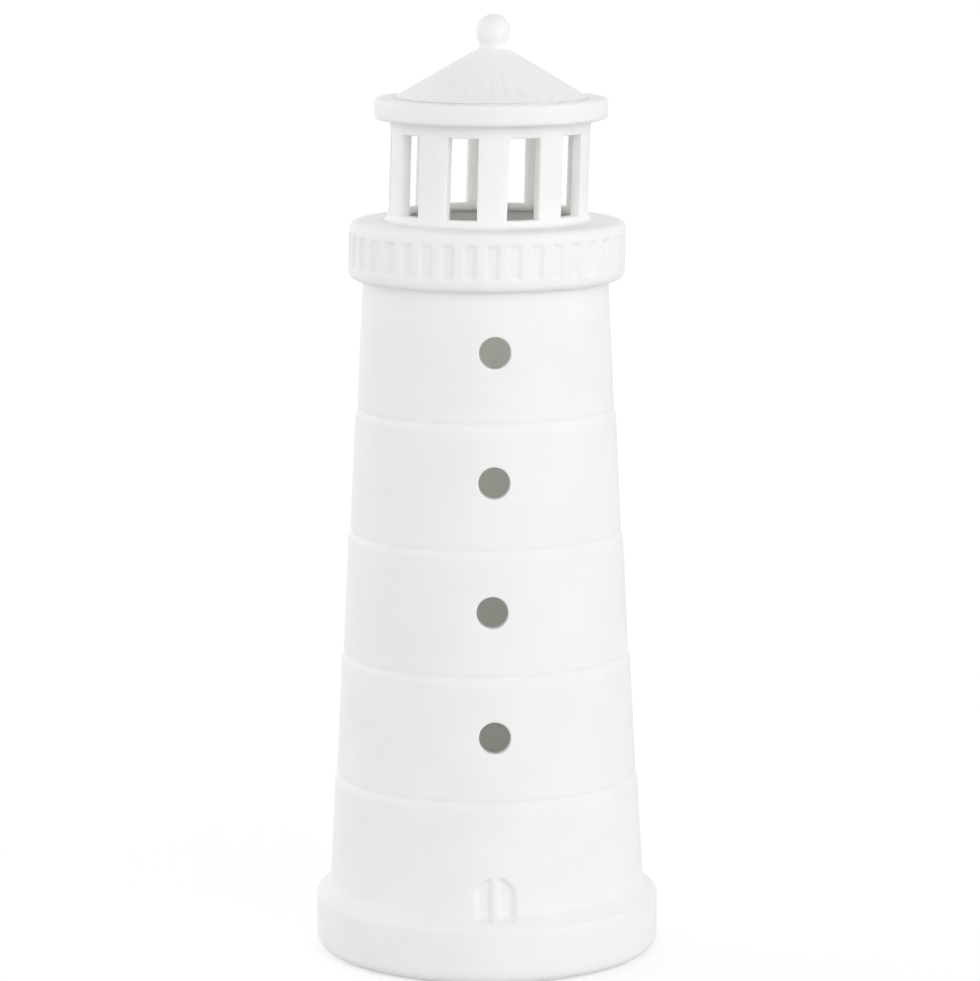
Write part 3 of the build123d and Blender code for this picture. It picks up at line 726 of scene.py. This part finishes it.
def makeRoof():
    eave, edge, top = roofLow[2], roofHigh[0], roofHigh[2]
    foot = edge - roof["ledge"]
    shoulder = eave + roof["thickness"]
    slope = (top - shoulder) / (foot - roof["topRadius"])
    drop = (roof["wall"] + roof["spareWall"]) * math.hypot(1, slope)
    ceiling = top - roof["wall"]
    # where the roof was luted to the eave, a scored line is left
    seamFloor = shoulder - roof["seamDrop"]
    seamTop = seamFloor + roof["seamHeight"]
    lip = foot - (seamTop - shoulder) / slope
    coarse, fine, seamPitch = roof["pitch"], roof["eavePitch"], roof["seamPitch"]
    outline = softOutline([
        (0, ceiling, 0, fine),
        (foot - (ceiling + drop - shoulder) / slope, ceiling, roof["ceilingRound"], coarse),
        (roof["bore"], shoulder + (foot - roof["bore"]) * slope - drop, roof["hollowRound"], coarse),
        (roof["bore"], eave, roof["boreRound"], roof["borePitch"]),
        (edge, eave, roof["eaveRound"], fine),
        (edge, shoulder, roof["eaveTopRound"], fine),
        (edge - roof["rimWidth"], shoulder, roof["rimRound"], roof["rimPitch"]),
        (foot + roof["gutter"] / slope, shoulder - roof["gutter"], roof["gutterRound"], roof["slopePitch"]),
        (foot + roof["seamDrop"] / slope, seamFloor, roof["seamRound"], seamPitch),
        (lip - roof["seamDepth"], seamFloor, roof["seamRound"], seamPitch),
        (lip - roof["seamDepth"], seamTop, roof["seamRound"], seamPitch),
        (lip, seamTop, roof["seamRound"], roof["slopePitch"]),
        (roof["topRadius"], top, roof["topRound"], fine),
        (0, top, 0, fine),
    ], closed=False)
    points, faces = turned(outline, roof["ribs"] * roof["columnsPerRib"], shape=ribRelief)
    newPiece("roofCap", leanOver(points), faces, porcelain, "lantern_top", ["roof_cap"])


makeRoof()

ball = {"radius": 5.2, "neckRadius": 4.1, "neckFlare": 0.9, "neckRise": 1.8, "neckSink": 0.2, "neckSteps": 6,
        "columns": 64, "rings": 22}


def makeBall():
    centre = ballHigh[2] - ball["radius"]
    foot = ballLow[2] - ball["neckSink"]
    neck = [(0, foot), (ball["neckRadius"] + ball["neckFlare"], foot)]
    for share in np.linspace(0, 1, ball["neckSteps"])[1:]:
        fall = ball["neckFlare"] * (1 - share) ** 2
        neck.append((ball["neckRadius"] + fall, foot + ball["neckRise"] * share))
    start = -math.acos(ball["neckRadius"] / ball["radius"])
    turn = np.linspace(start, math.pi / 2, ball["rings"])
    sphere = np.column_stack([ball["radius"] * np.cos(turn), centre + ball["radius"] * np.sin(turn)])
    points, faces = turned(np.vstack([neck, sphere]), ball["columns"])
    newPiece("ballFinial", leanOver(points), faces, porcelain, "lantern_top", ["ball_finial"])


makeBall()

# Light insert: turned parts with soft edges, then the moulded CAD pieces with their finishes

grip = {"lips": 2, "depth": 2.15, "band": 1.15, "round": 0.25, "edgeRound": 0.1, "footGap": 0.01,
        "pitch": 2, "lipPitch": 1, "columns": 160}


def makeGrip():
    low, high = boxOf("grip_ring")
    lip = (high[2] - low[2]) / grip["lips"]
    outside = high[0]
    inside = outside - grip["depth"]
    band = inside + grip["band"]
    edge, pitch, fine = grip["edgeRound"], grip["pitch"], grip["lipPitch"]
    corners = [(inside, low[2], edge, pitch)]
    for i in range(grip["lips"]):
        corners.append((band, low[2] + i * lip + grip["footGap"], edge, fine))
        corners.append((outside, low[2] + (i + 0.5) * lip, grip["round"], fine))
    corners += [(band, high[2], edge, fine), (inside, high[2], edge, pitch)]
    points, faces = turned(softOutline(corners), grip["columns"], True)
    newPiece("gripRing", points, faces, silicone, "light_unit", ["grip_ring"])


makeGrip()

cap = {"wall": 1.6, "draft": 2.0, "shoulder": 4.0, "innerRim": 0.2, "outerRim": 0.3,
       "pitch": 2, "rimPitch": 1, "columns": 96}


def makeCap():
    low, high = boxOf("diffuser")
    radius, wall, draft, pitch = high[0], cap["wall"], cap["draft"], cap["pitch"]
    outline = softOutline([
        (0, high[2] - wall, 0, pitch),
        (radius - draft - wall, high[2] - wall, cap["shoulder"] - wall, pitch),
        (radius - wall, low[2], cap["innerRim"], cap["rimPitch"]),
        (radius, low[2], cap["outerRim"], pitch),
        (radius - draft, high[2], cap["shoulder"], pitch),
        (0, high[2], 0, pitch),
    ], closed=False)
    points, faces = turned(outline, cap["columns"])
    newPiece("diffuserCap", points, faces, frosted, "light_unit", ["diffuser"])


makeCap()

cell = {
    "shoulder": 0.6, "crimp": 0.35, "crimpInset": 1.1, "crimpFoot": 1.4, "edgeRound": 0.2, "bareInset": 0.9,
    "dish": 0.25, "dishInset": 1.0, "nubRadius": 1.9, "nubHeight": 0.9, "nubFoot": 0.15, "nubRound": 0.3,
    "dishPitch": 2, "endPitch": 1, "sidePitch": 6, "columns": 48,
}


def makeCell(name, node, facing):
    low, high = boxOf(node)
    radius, length = (high[0] - low[0]) / 2, high[1] - low[1]
    middle = (low + high) / 2
    rim = length - cell["nubHeight"]
    edge, pitch = cell["edgeRound"], cell["endPitch"]
    outline = softOutline([
        (0, cell["dish"], 0, cell["dishPitch"]),
        (radius - cell["crimpFoot"], cell["dish"], edge, pitch),
        (radius - cell["dishInset"], 0, edge, pitch),
        (radius, 0, cell["shoulder"], cell["sidePitch"]),
        (radius, rim, cell["shoulder"], pitch),
        (radius - cell["crimpInset"], rim, edge, pitch),
        (radius - cell["crimpFoot"], rim - cell["crimp"], edge, pitch),
        (cell["nubRadius"], rim - cell["crimp"], cell["nubFoot"], pitch),
        (cell["nubRadius"], length, cell["nubRound"], pitch),
        (0, length, 0, pitch),
    ], closed=False)
    points, faces = turned(outline, cell["columns"])
    along = (points[:, 2] - length / 2) * facing
    points = np.column_stack([points[:, 0] + middle[0], along + middle[1], points[:, 1] + middle[2]])
    piece = newPiece(name, points, faces, sleeve, "light_unit", [node])
    piece.data.materials.append(nickel)
    for face in piece.data.polygons:  # both ends are bare plated steel
        spot = np.array(face.center) / mm
        if math.hypot(spot[0] - middle[0], spot[2] - middle[2]) < radius - cell["bareInset"]:
            face.material_index = 1


for number, facing in ((1, -1), (2, 1), (3, -1)):
    makeCell(f"batteryCell{number}", f"battery_{number}", facing)

screw = {
    "headRadius": 2.1, "headRound": 0.25, "shankRadius": 1.1, "seatRound": 0.1, "tipRound": 0.4,
    "threadPitch": 0.8, "threadDepth": 0.22, "threadStart": 0.2, "threadSteps": 6, "shankMargin": 0.05,
    "slotWidth": 0.55, "slotLength": 2.6, "slotSoftness": 0.2, "slotEndSoftness": 0.3,
    "slotDepth": 0.5, "slotShare": 0.7,  # the cross is no deeper than this share of the head
    "faceDepth": 0.1, "facePitch": 0.12, "headPitch": 0.5, "sidePitch": 1, "columns": 40,
}


def makeScrews(name, node, headHeight, body):
    low, high = boxOf(node)
    headRadius, shankRadius = screw["headRadius"], screw["shankRadius"]
    middle = (low + high) / 2
    spots = [low[:2] + headRadius, high[:2] - headRadius]
    if high[0] - low[0] < 3 * headRadius:  # both stand on one line from front to back
        spots = [np.array([middle[0], low[1] + headRadius]), np.array([middle[0], high[1] - headRadius])]
    seat = low[2] + headHeight

    def slot(across, along):
        return (softBand(across, screw["slotWidth"] / 2, screw["slotSoftness"])
                * softBand(along, screw["slotLength"] / 2, screw["slotEndSoftness"]))

    def crossAndThread(angle, radius, height):
        x, y = radius * np.cos(angle), radius * np.sin(angle)
        cross = np.maximum(slot(x, y), slot(y, x)) * min(screw["slotDepth"], screw["slotShare"] * headHeight)
        height = height + np.where(height < low[2] + screw["faceDepth"], cross, 0)
        turn = (height / screw["threadPitch"] - angle / (2 * math.pi)) % 1
        groove = screw["threadDepth"] * np.abs(2 * turn - 1)
        shank = (height > seat + screw["threadStart"]) & (radius > shankRadius - screw["shankMargin"])
        return radius - np.where(shank, groove, 0), height

    outline = softOutline([
        (0, low[2], 0, screw["facePitch"]),
        (headRadius, low[2], screw["headRound"], screw["headPitch"]),
        (headRadius, seat, screw["seatRound"], screw["sidePitch"]),
        (shankRadius, seat, screw["seatRound"], screw["threadPitch"] / screw["threadSteps"]),
        (shankRadius, high[2], screw["tipRound"], screw["headPitch"]),
        (0, high[2], 0, screw["sidePitch"]),
    ], closed=False)
    one, quads = turned(outline, screw["columns"], shape=crossAndThread)
    points = np.vstack([one + [x, y, 0] for x, y in spots])
    faces = quads + [tuple(v + len(one) for v in quad) for quad in quads]
    newPiece(name, points, faces, zinc, body, [node])


makeScrews("housingScrews", "housing_screws", 1.5, "light_unit")
makeScrews("coverScrews", "cover_screws", 0.8, "cover")

dressed = {
    "base_plate": ivoryAbs, "top_housing": ivoryAbs, "battery_cover": ivoryAbs, "led_board": boardGreen,
    "leds": phosphor, "contact_bridge_front": nickel, "contact_bridge_rear": nickel,
    "contact_negative": nickel, "contact_positive": nickel, "switch_body": blackAbs, "switch_knob": blackAbs,
}
for node, finish in dressed.items():
    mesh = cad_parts[node].data
    mesh.materials.clear()
    mesh.materials.append(finish)
print("CAD pieces dressed:", len(dressed))

# Stage: pale floor, a band of room light a little above the object, and two weak soft lamps


def seenStraight(finish):
    # 1 where the eye looks at it, also in a mirror or through glass, and 0 where it only gives light
    path = addNode(finish, "ShaderNodeLightPath").outputs
    seen = path["Is Camera Ray"]
    for ray in ("Is Glossy Ray", "Is Transmission Ray"):
        seen = addNode(finish, "ShaderNodeMath", {"operation": "MAXIMUM"}, {0: seen, 1: path[ray]}).outputs[0]
    return seen


sweep = {"size": 16000, "drop": 0.2, "colour": "#dcdcdc", "lift": 0.39}


def makeFloor():
    half, level = sweep["size"] / 2, -sweep["drop"]
    spots = [(-half, -half, level), (half, -half, level), (half, half, level), (-half, half, level)]
    mesh = bpy.data.meshes.new("floor")
    mesh.from_pydata((np.array(spots) * mm).tolist(), [], [(0, 1, 2, 3)])
    floor = bpy.data.objects.new("floor", mesh)
    scene.collection.objects.link(floor)
    # white paper sweep: the eye sees it a little brighter than it lights the object, and it keeps the shadow
    finish, shader, _ = newFinish("paperSweepMatt", {"Base Color": linear(sweep["colour"]), "Roughness": 0.9})
    lift = addNode(finish, "ShaderNodeMath", {"operation": "MULTIPLY", 1: sweep["lift"]},
                   {0: seenStraight(finish)})
    glow = addNode(finish, "ShaderNodeEmission", links={"Strength": lift.outputs[0]})
    both = addNode(finish, "ShaderNodeAddShader", links={0: shader.outputs[0], 1: glow.outputs[0]})
    wire(finish, finish.node_tree.nodes["Material Output"], {"Surface": both.outputs[0]})
    mesh.materials.append(finish)


room = {
    "light": 1.48, "diagonal": 0.42, "diagonalTurn": 9,
    # rise of the sight line, from level to straight up, and the share of the light there
    "band": [(0.01, 1.0), (0.25, 1.0), (0.5, 0.95), (0.8, 0.3), (0.99, 0.15)],
}


def makeRoom():
    world = bpy.data.worlds.new("room")
    world.use_nodes = True
    scene.world = world
    sight = addNode(world, "ShaderNodeTexCoord").outputs["Generated"]
    turnedSight = addNode(world, "ShaderNodeVectorRotate", {
        "rotation_type": "Z_AXIS", "Angle": math.radians(room["diagonalTurn"])}, {"Vector": sight})
    toward = addNode(world, "ShaderNodeSeparateXYZ", links={0: turnedSight.outputs[0]}).outputs
    band = addNode(world, "ShaderNodeValToRGB", links={"Fac": toward["Z"]})
    stops = band.color_ramp.elements
    for rise, share in room["band"]:
        stop = stops.new(rise)
        stop.color = (share, share, share, 1)
    stops.remove(stops[0])
    stops.remove(stops[-1])
    # bright walls stand at the front right and the back left, where X times Y is -0.5, and darker ones on the
    # other diagonal, where it is 0.5
    corner = addNode(world, "ShaderNodeMath", {"operation": "MULTIPLY"}, {0: toward["X"], 1: toward["Y"]})
    walls = addNode(world, "ShaderNodeMapRange", {
        "From Min": -0.5, "From Max": 0.5, "To Min": room["light"] * (1 + room["diagonal"]),
        "To Max": room["light"] * (1 - room["diagonal"])}, {"Value": corner.outputs[0]})
    sky = addNode(world, "ShaderNodeMath", {"operation": "MULTIPLY"},
                  {0: band.outputs["Color"], 1: walls.outputs["Result"]})
    level = addNode(world, "ShaderNodeMapRange", {"To Max": 1.0},
                    {"Value": seenStraight(world), "To Min": sky.outputs[0]})
    backdrop = world.node_tree.nodes["Background"]
    backdrop.inputs["Color"].default_value = (1, 1, 1, 1)
    wire(world, backdrop, {"Strength": level.outputs["Result"]})


lamps = {  # turned by degrees to the right of the front
    "softboxRight": {"turn": 30, "watts": 0.5},
    "reflectorLeft": {"turn": -125, "watts": 1.2},
}
lampStand = {"reach": 1700, "height": 700, "size": 1100, "aimHeight": 130}


def standAt(reach, turn, height):
    return np.array([reach * math.sin(turn), -reach * math.cos(turn), height]) * mm


def makeLamps():
    reach, rise = lampStand["reach"], lampStand["height"] - lampStand["aimHeight"]
    for name, lamp in lamps.items():
        light = bpy.data.lights.new(name, "AREA")
        light.size = lampStand["size"] * mm
        light.energy = lamp["watts"]
        lampObject = bpy.data.objects.new(name, light)
        scene.collection.objects.link(lampObject)
        turn = math.radians(lamp["turn"])
        lampObject.location = standAt(reach, turn, lampStand["height"])
        lampObject.rotation_euler = (math.atan2(reach, rise), 0, turn)


camera = {"distance": 1269.6, "height": 347.3, "tilt": 9.35, "azimuth": -3.3, "pan": -0.04,
          "focalPixels": 4309, "longSidePixels": 981, "sensor": 36, "farthest": 100}


def makeCamera():
    lens = bpy.data.cameras.new("photoCamera")
    lens.sensor_width = camera["sensor"]
    lens.lens = camera["sensor"] * camera["focalPixels"] / camera["longSidePixels"]
    lens.clip_end = camera["farthest"]
    eye = bpy.data.objects.new("photoCamera", lens)
    scene.collection.objects.link(eye)
    eye.location = standAt(camera["distance"], math.radians(camera["azimuth"]), camera["height"])
    heading = math.radians(camera["azimuth"] + camera["pan"])
    eye.rotation_euler = (math.radians(90 - camera["tilt"]), 0, heading)
    scene.camera = eye


makeFloor()
makeRoom()
makeLamps()
makeCamera()
print("stage, lamps and camera set")
